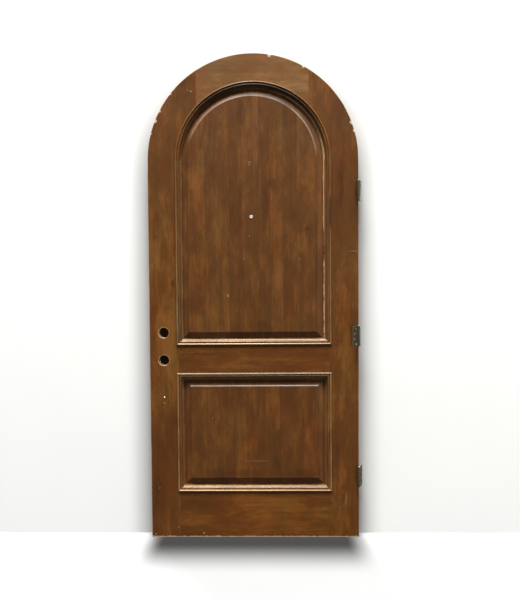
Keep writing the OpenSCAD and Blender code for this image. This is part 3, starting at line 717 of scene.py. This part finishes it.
# Patches in the boards: x, z, half width, half height, change of tone
UPPER_SPOTS = (
    (-0.055, 2.145, 0.020, 0.045, -0.16), (-0.088, 1.900, 0.014, 0.090, -0.13),
    (0.058, 1.700, 0.014, 0.150, -0.17), (0.095, 1.790, 0.022, 0.025, -0.12),
    (0.175, 1.660, 0.045, 0.060, -0.14), (0.270, 1.565, 0.014, 0.012, -0.22),
    (0.165, 1.536, 0.010, 0.008, -0.18), (0.117, 1.345, 0.024, 0.100, 0.15),
    (-0.050, 1.360, 0.026, 0.055, -0.15), (0.166, 1.390, 0.013, 0.045, -0.14),
    (0.050, 1.075, 0.040, 0.030, -0.15), (-0.290, 1.830, 0.035, 0.060, 0.10),
    (-0.295, 1.090, 0.030, 0.060, 0.10), (0.245, 1.500, 0.025, 0.050, 0.09),
    (0.010, 2.020, 0.035, 0.110, 0.09), (-0.190, 1.620, 0.045, 0.160, 0.07),
)
LOWER_SPOTS = (
    (-0.173, 0.322, 0.070, 0.025, -0.12), (-0.030, 0.322, 0.060, 0.022, -0.11),
    (0.224, 0.322, 0.070, 0.022, -0.12), (0.107, 0.360, 0.022, 0.050, -0.08),
    (-0.160, 0.560, 0.050, 0.090, 0.08), (0.120, 0.640, 0.060, 0.070, 0.07),
    (0.300, 0.700, 0.030, 0.080, -0.10), (-0.290, 0.450, 0.030, 0.090, -0.08),
)
LOCK_STILE_SPOTS = (
    (-0.411, 1.299, 0.008, 0.014, -0.26), (-0.470, 0.300, 0.030, 0.160, -0.12),
    (-0.455, 1.560, 0.040, 0.200, 0.08), (-0.415, 0.560, 0.030, 0.120, -0.08),
)
HAUNCH_SPOTS = (
    (-0.350, 2.310, 0.050, 0.030, -0.16), (-0.355, 2.210, 0.040, 0.060, -0.13),
    (-0.300, 2.160, 0.020, 0.050, -0.08), (-0.420, 2.130, 0.030, 0.050, 0.08),
)
# The last three are painted shadows beside the middle, top and bottom hinges
HINGE_STILE_SPOTS_AND_SHADOWS = (
    (0.441, 1.780, 0.012, 0.090, -0.16), (0.386, 0.175, 0.010, 0.010, -0.22),
    (0.470, 0.900, 0.035, 0.180, 0.07), (0.420, 0.500, 0.030, 0.120, -0.08),
    (0.496, 1.030, 0.011, 0.050, -0.24), (0.519, 1.755, 0.009, 0.060, -0.22),
    (0.519, 0.316, 0.009, 0.055, -0.22),
)
RAIL_SPOTS = ((-0.270, 0.938, 0.110, 0.0025, -0.25), (0.170, 0.900, 0.120, 0.030, 0.08),
              (0.120, 0.120, 0.200, 0.080, 0.10), (-0.250, 0.180, 0.090, 0.040, -0.08))
# Pale specks and scratches: x, z, half width, half height
UPPER_MARKS = (
    (-0.018, 1.900, 0.0018, 0.0028), (-0.018, 1.888, 0.0022, 0.0018), (-0.018, 1.532, 0.0022, 0.0018),
    (-0.047, 1.417, 0.0018, 0.0018), (0.234, 1.415, 0.0020, 0.0020), (-0.129, 1.233, 0.0020, 0.0070),
)
LOWER_MARKS = ((0.013, 0.391, 0.0640, 0.0003), (-0.212, 0.610, 0.0016, 0.0016))
STILE_MARKS = (
    (0.503, 1.453, 0.0230, 0.0006), (0.462, 0.196, 0.0006, 0.0310), (-0.486, 0.253, 0.0024, 0.0020),
    (-0.509, 0.016, 0.0030, 0.0030), (-0.391, 0.051, 0.0022, 0.0022), (-0.306, 2.255, 0.0024, 0.0030),
    (-0.322, 2.260, 0.0014, 0.0018),
)
RAIL_MARKS = ((-0.263, 0.020, 0.0028, 0.0040), (0.077, 0.386, 0.0018, 0.0018))
# Dark smears of old glaze on the upper hinge side's moulding, in the same way
SMEARS = ((0.3873, 1.648, 0.0070, 0.0850), (0.3600, 1.446, 0.0040, 0.0520))
FLECK = (0.66, 0.55, 0.40)
# Heights, with the tone that the stain drifts to there
LOCK_STILE_DRIFT = ((0.2, 0.46), (1.05, 0.59), (1.75, 0.45))
HINGE_STILE_DRIFT = ((0.4, 0.48), (1.3, 0.50), (1.9, 0.45))


def paint(names, material):
    """Gives each named CAD node that one material."""
    for name in names:
        mesh = NODES[name].data
        mesh.materials.clear()
        mesh.materials.append(material)


def paint_stiles():
    stile = {"dark": STILE_DARK, "light": STILE_LIGHT, "slab": True}
    lock = wood("lock_stile_wood", "up", pith=-0.50, depth=0.03, slope=0.03, drift=LOCK_STILE_DRIFT,
                spots=LOCK_STILE_SPOTS, extra=lock_stile_features, **stile)
    paint(["lock_stile"], lock)
    hinge = wood("hinge_stile_wood", "up", pith=0.44, depth=-0.07, slope=0.05,
                 drift=HINGE_STILE_DRIFT, spots=HINGE_STILE_SPOTS_AND_SHADOWS, extra=marked_edge, **stile)
    paint(["hinge_stile"], hinge)
    lock = wood("lock_haunch_wood", "up", pith=-0.30, slope=0.09, spots=HAUNCH_SPOTS,
                extra=marked_edge, **stile)
    paint(["lock_haunch"], lock)
    hinge = wood("hinge_haunch_wood", "up", pith=0.36, slope=-0.08, extra=edge_features, **stile)
    paint(["hinge_haunch"], hinge)


def paint_rails():
    head = wood("head_rail_wood", "level", HEAD_DARK, HEAD_LIGHT, pith=2.36, depth=0.04,
                extra=edge_features, slab=True)
    paint(["head_rail"], head)
    rail = {"dark": RAIL_DARK, "light": RAIL_LIGHT, "spots": RAIL_SPOTS, "slab": True}
    lock = wood("lock_rail_wood", "level", pith=0.93, depth=0.03, slope=0.04, **rail)
    paint(["lock_rail"], lock)
    bottom = wood("bottom_rail_wood", "level", pith=0.10, depth=0.05, slope=0.05, extra=marked_rail,
                  **rail)
    paint(["bottom_rail"], bottom)


def paint_panels():
    colours = {"dark": PANEL_DARK, "light": PANEL_LIGHT}
    upper = panel_wood("upper_panel_wood", edges=UPPER_EDGES, tones=UPPER_TONES, spots=UPPER_SPOTS,
                       extra=upper_panel_features, pith=0.05, slope=0.05, **colours)
    paint(["upper_panel"], upper)
    lower = panel_wood("lower_panel_wood", edges=LOWER_EDGES, tones=LOWER_TONES, spots=LOWER_SPOTS,
                       extra=lower_panel_features, pith=0.03, slope=0.10, **colours)
    paint(["lower_panel"], lower)


# Where the outer bead's crown and its flank, and the inner lip, lie inside the outer edge
BEAD_CROWN, BEAD_FLANK, LIP = 0.0042, 0.0066, 0.0318
CREAMY_HIGHLIGHT, HEAD_BEAD_SHADE = (0.52, 0.36, 0.19), (0.03, 0.02, 0.01)
CROWN_SHADE, GOLDEN_LIP = (0.011, 0.0065, 0.0030), (0.62, 0.44, 0.22)
# x + 0.5 m, with the ledges' tint there
LEDGE_TINTS = ((0.20, (1.06, 1.02, 1.0)), (0.50, (1.0, 0.93, 0.85)), (0.85, (0.80, 0.66, 0.50)))


def bead_front(t):
    """1 on the part of a moulding that stands proud of the front face."""
    return t.step(t.y, FRONT_Y, FRONT_Y - 0.001)


def rubbed_bead(t, colour, tone):
    """The outer bead's crown is rubbed through to a golden line."""
    inset = t.largest(upper_inset(t), lower_inset(t))
    crown = t.step(t.absolute(t.less(inset, BEAD_CROWN)), 0.0040, 0.0015)
    patchy = t.step(t.noise(t.place, (9, 9, 9), 4.0, 0.6), 0.30, 0.62)
    strength = t.times(t.add(0.10, t.times(patchy, 0.5)), t.step(t.z, 2.2, 0.8))
    share = t.add(0.06, t.times(strength, 0.8))
    return t.mix(t.times(crown, bead_front(t), share), colour, GOLDEN)


def smeared_bead(t, colour, tone):
    """A rubbed bead with two smears of old glaze."""
    return marks(t, rubbed_bead(t, colour, tone), SMEARS, DARK_GLAZE_AND_SHADE)


def creamy_bead(t, colour, tone):
    """A ledge's outer bead has a pale flank, worn and painted as a highlight, and the ledge is
    browner towards the hinge side. The lower head's beads are painted darker as shade."""
    sill = t.largest(t.less(t.z, UPPER_SIGHT_Z), lower_inset(t))
    above = t.step(t.z, UPPER_SIGHT_Z - 0.01, UPPER_SIGHT_Z - 0.005)
    inset = t.mix_value(above, lower_inset(t), sill)
    flank = t.step(t.absolute(t.less(inset, BEAD_FLANK)), 0.0040, 0.0022)
    # Pale flank: wear, and a painted highlight
    colour = t.mix(t.times(flank, bead_front(t), 0.75), colour, CREAMY_HIGHLIGHT)
    # Painted shade on the lower head's beads
    below = t.less(LOWER_SIGHT_Z[1], t.z)
    outer = t.times(t.step(below, 0.0050, 0.0025), t.step(below, -0.010, -0.005), 0.3)
    inner = t.times(t.step(below, 0.0105, 0.0125), t.step(below, 0.0240, 0.0200), 0.6)
    colour = t.mix(t.add(outer, inner), colour, HEAD_BEAD_SHADE)
    return t.mix(1.0, colour, t.ramp(t.add(t.x, 0.5), LEDGE_TINTS), "MULTIPLY")


def shaded_crown(t, colour, tone):
    """The arch moulding's hollow is painted black as shadow round the crown, inside its outer bead,
    and its inner lip is rubbed golden on the hinge side."""
    up = t.less(t.z, SPRING_Z)
    inset = t.less(SIGHT_HALF, t.length(t.x, up))
    hollow = t.step(inset, 0.0025, 0.0060)
    colour = rubbed_bead(t, colour, tone)
    # Painted shadow in the hollow under the crown's outer bead
    colour = t.mix(t.times(hollow, t.step(up, 0.10, 0.34), 0.75), colour, CROWN_SHADE)
    lip = t.step(t.absolute(t.less(inset, LIP)), 0.0022, 0.0010)
    aside = t.times(t.step(t.x, 0.10, 0.24), t.step(up, -0.02, 0.02))
    return t.mix(t.times(lip, aside, 0.85), colour, GOLDEN_LIP)


def paint_mouldings():
    plain = {"dark": MOULD_DARK, "light": MOULD_LIGHT, "glaze_and_shade": 0.9, "specular": 0.45}
    arch = {**plain, "specular": 0.25, "extra": shaded_crown}
    side = {**plain, "extra": smeared_bead}
    lit_ledge = {"dark": LIT_LEDGE_DARK, "light": LIT_LEDGE_LIGHT, "glaze_and_shade": 0.35, "specular": 0.5,
             "extra": creamy_bead}
    kinds = (("round", ["arch"], arch),
             ("up", ["upper_lock", "upper_hinge", "lower_lock", "lower_hinge"], side),
             ("level", ["upper_sill", "lower_head", "lower_sill"], lit_ledge))
    for axis, parts, look_of in kinds:
        names = [f"{face}_{part}_moulding" for face in ("front", "back") for part in parts]
        made = wood(f"moulding_wood_{axis}", axis, gloss=0.40, wear=0.3, ring_share=0.04, **look_of)
        paint(names, made)


BRONZE, BRONZE_WORN, BRONZE_BRIGHT = (0.190, 0.174, 0.115), (0.40, 0.37, 0.28), (0.62, 0.58, 0.48)
BRASS, BRASS_WORN = (0.80, 0.74, 0.60), (0.94, 0.90, 0.80)
STEEL, STEEL_WORN = (0.82, 0.80, 0.74), (0.95, 0.94, 0.9)


def paint_hardware():
    dowels = ["haunch_dowels", "head_dowels", "lock_rail_dowels", "bottom_rail_dowels"]
    paint(dowels, beech("dowel_beech"))
    plain = metal("hinge_bronze", BRONZE, BRONZE_WORN, 0.52)
    for hinge in ("top", "middle", "bottom"):
        paint([f"{hinge}_hinge_{part}" for part in ("door_leaf", "pin", "tip")], plain)
        paint([f"{hinge}_hinge_screws"], plain)
        leaf = metal(f"{hinge}_leaf_bronze", BRONZE, BRONZE_BRIGHT, 0.46, spots=screw_spots(hinge))
        paint([f"{hinge}_hinge_jamb_leaf"], leaf)
    # Half metallic, so the pale brass shows bright as a painted highlight
    brass = metal("viewer_brass", BRASS, BRASS_WORN, 0.5, blotch=0.15, metallic=0.5)
    paint(["viewer_barrel", "viewer_sleeve"], brass)
    paint(["viewer_lens", "viewer_eyepiece"], glass("lens_glass"))
    steel = metal("bright_steel", STEEL, STEEL_WORN, 0.28, blotch=0.25)
    paint(["handle_screw"], steel)


# ---- Floor, wall, light and camera ----

WALL_GAP = 0.008
# How far the floor and the wall reach sideways, the floor forwards and back, and the wall up
SIDEWAYS, FORWARDS, WALL_TALL = 6, 5, 3
FLOOR_GREY, WALL_WHITE = (0.30, 0.31, 0.325), (0.93, 0.955, 0.985)
# The colour of the card that stands for the shade inside the bores
SHADE_CARD_BROWN = (0.050, 0.028, 0.014)
# The share of the floor's colour that light bounces off, and the depth of the plaster's bump
FLOOR_BOUNCE, TOOTH_DEPTH = 0.22, 0.0002


def sheet(name, corners, material):
    """A flat stage piece through four corners."""
    mesh = bpy.data.meshes.new(name)
    mesh.from_pydata([tuple(c) for c in corners], [], [(0, 1, 2, 3)])
    mesh.materials.append(material)
    made = bpy.data.objects.new(name, mesh)
    bpy.context.scene.collection.objects.link(made)


def wall_shade(t):
    """A soft shadow of the door on the wall, a little lower than the door."""
    return t.less(1.0, t.times(t.step(outline_inset(t, 0.05), -0.145, 0.05), 0.58))


def floor_shade(t):
    """A soft shadow of the door on the floor at its foot, dense near the door."""
    aside = t.step(t.absolute(t.x), ARCH_R + 0.07, ARCH_R - 0.07)
    ahead = t.step(t.absolute(t.y), 0.46, 0.10)
    return t.less(1.0, t.times(aside, ahead, 0.94))


def surface_mix(t, factor, first, second):
    """Makes the surface the first shader where factor is 0 and the second where it is 1."""
    mixed = t.node("ShaderNodeMixShader")
    t.link(factor, mixed.inputs[0])
    t.link(first, mixed.inputs[1])
    t.link(second, mixed.inputs[2])
    t.link(mixed.outputs[0], t.output.inputs["Surface"])


def plaster_surface(t, colour, shade):
    """Faintly cloudy and rough. shade(t), where it is given, darkens the colour."""
    cloud = t.noise(t.place, (2.2, 2.2, 2.2), 4.0, 0.6)
    tooth = t.noise(t.place, (420, 420, 420), 3.0, 0.6)
    tint = t.add(0.97, t.times(cloud, 0.06))
    if shade:
        tint = t.times(tint, shade(t))
    t.set("Base Color", t.shade(colour, tint))
    t.set("Roughness", t.add(0.75, t.times(tooth, 0.15)))
    t.set("Specular IOR Level", 0.2)
    bump = t.node("ShaderNodeBump")
    bump.inputs["Distance"].default_value = TOOTH_DEPTH
    t.put(bump.inputs["Height"], tooth)
    t.set("Normal", bump.outputs["Normal"])


def plaster(name, colour, one_sided=False, bounce=1.0, shade=None):
    """Plain plaster. One-sided, only camera rays from in front meet it, and light passes through
    it. bounce is the share of its colour that rays other than the camera's meet."""
    t = Tree(name)
    plaster_surface(t, colour, shade)
    full = t.shader.outputs["BSDF"]
    if bounce < 1.0:
        dim = t.node("ShaderNodeBsdfDiffuse")
        t.put(dim.inputs["Color"], tuple(c * bounce for c in colour))
        seen = t.node("ShaderNodeLightPath").outputs["Is Camera Ray"]
        surface_mix(t, seen, dim.outputs[0], full)
    if one_sided:
        clear = t.node("ShaderNodeBsdfTransparent")
        unseen = t.less(1.0, t.node("ShaderNodeLightPath").outputs["Is Camera Ray"])
        behind = t.node("ShaderNodeNewGeometry").outputs["Backfacing"]
        surface_mix(t, t.largest(unseen, behind), full, clear.outputs[0])
    return t.material


def build_stage():
    floor = [(-SIDEWAYS, -FORWARDS, 0), (SIDEWAYS, -FORWARDS, 0), (SIDEWAYS, FORWARDS, 0),
             (-SIDEWAYS, FORWARDS, 0)]
    grey = plaster("floor_plaster", FLOOR_GREY, bounce=FLOOR_BOUNCE, shade=floor_shade)
    sheet("stage_floor", floor, grey)
    y = CAD_HIGH.y + WALL_GAP
    wall = [(-SIDEWAYS, y, 0), (SIDEWAYS, y, 0), (SIDEWAYS, y, WALL_TALL), (-SIDEWAYS, y, WALL_TALL)]
    white = plaster("wall_plaster", WALL_WHITE, one_sided=True, shade=wall_shade)
    sheet("stage_wall", wall, white)
    build_shade_card()


def build_shade_card():
    """A dark card just behind the two cross bores, put there as painted shade so that they look dark
    and warm inside.
    """
    x, _, latch_z = MOUNTS["latch_cross_bore"]["pos_m"]
    left, right = x - 0.05, x + 0.05
    low, high = latch_z - 0.09, MOUNTS["deadbolt_cross_bore"]["pos_m"][2] + 0.05
    y = HALF_T + 0.002
    card = [(left, y, low), (right, y, low), (right, y, high), (left, y, high)]
    sheet("stage_shade_card", card, plaster("shade_card_black", SHADE_CARD_BROWN, one_sided=True))


def look(location, target):
    """The turn that points -Z from location at target, with Y up."""
    return (Vector(target) - Vector(location)).to_track_quat("-Z", "Y").to_euler()


def lamp(name, location, target, width, height, power, colour):
    data = bpy.data.lights.new(name, "AREA")
    data.shape, data.size, data.size_y = "RECTANGLE", width, height
    data.energy, data.color = power, colour
    made = bpy.data.objects.new(name, data)
    made.location, made.rotation_euler = location, look(location, target)
    bpy.context.scene.collection.objects.link(made)


SUNNY, WARM, GLOWING = (1.0, 0.97, 0.90), (1.0, 0.98, 0.95), (1.0, 0.92, 0.80)
# Name, place, target, width, height, watts and colour
LAMPS = (
    ("key", (-0.4, -4.0, 16.0), (0, 0, 1.3), 4.5, 3.0, 4700.0, SUNNY),
    ("sky", (0.3, -2.8, 12.0), (0.3, -2.8, 0), 11.0, 5.6, 2550.0, WARM),
    ("fill_right", (9.0, -6.0, 0.9), (0, 0, 0.9), 2.4, 1.6, 185.0, GLOWING),
    ("fill_left", (-9.0, -6.0, 0.9), (0, 0, 0.9), 2.4, 1.6, 52.0, GLOWING),
    ("back_key", (-2.0, 6.0, 8.0), (0, 0, 1.2), 4.0, 2.5, 1100.0, WARM),
    ("back_fill", (3.5, 6.0, 1.6), (0, 0, 1.2), 2.4, 1.6, 90.0, WARM),
)
BACKDROP, AMBIENT, AMBIENT_STRENGTH = (0.86, 0.87, 0.88, 1.0), (0.62, 0.65, 0.70, 1.0), 0.04


def build_light():
    for settings in LAMPS:
        lamp(*settings)
    build_world()


def build_world():
    """Camera rays see a pale backdrop, and all others a dim blue-grey one."""
    world = bpy.data.worlds.new("studio")
    world.use_nodes = True
    nodes, links = world.node_tree.nodes, world.node_tree.links
    backdrop = nodes.new("ShaderNodeBackground")
    backdrop.inputs["Color"].default_value = BACKDROP
    nodes["Background"].inputs["Color"].default_value = AMBIENT
    nodes["Background"].inputs["Strength"].default_value = AMBIENT_STRENGTH
    mixed = nodes.new("ShaderNodeMixShader")
    links.new(nodes.new("ShaderNodeLightPath").outputs["Is Camera Ray"], mixed.inputs[0])
    links.new(nodes["Background"].outputs[0], mixed.inputs[1])
    links.new(backdrop.outputs[0], mixed.inputs[2])
    links.new(mixed.outputs[0], nodes["World Output"].inputs["Surface"])
    bpy.context.scene.world = world


def build_camera():
    """The camera stands in front of the door, a little right of and above its middle."""
    place = Vector((0.1006, -3.376, 1.335))
    down, turn, roll = math.radians(2.13), math.radians(-1.17), math.radians(-0.41)
    ahead_x, ahead_y = math.sin(turn) * math.cos(down), math.cos(turn) * math.cos(down)
    ahead = Vector((ahead_x, ahead_y, -math.sin(down)))
    level = Vector((math.cos(turn), -math.sin(turn), 0.0))
    up = level.cross(ahead)
    right = math.cos(roll) * level + math.sin(roll) * up
    top = math.cos(roll) * up - math.sin(roll) * level
    data = bpy.data.cameras.new("camera")
    data.sensor_width, data.lens = 36.0, 39.98
    data.clip_start, data.clip_end = 0.05, 60.0
    made = bpy.data.objects.new("camera", data)
    turned = Matrix((right, top, -ahead)).transposed()
    made.matrix_world = Matrix.Translation(place) @ turned.to_4x4()
    bpy.context.scene.collection.objects.link(made)
    bpy.context.scene.camera = made


paint_stiles()
paint_rails()
paint_panels()
paint_mouldings()
paint_hardware()
build_stage()
build_light()
build_camera()
bpy.context.scene.view_settings.view_transform = "Standard"
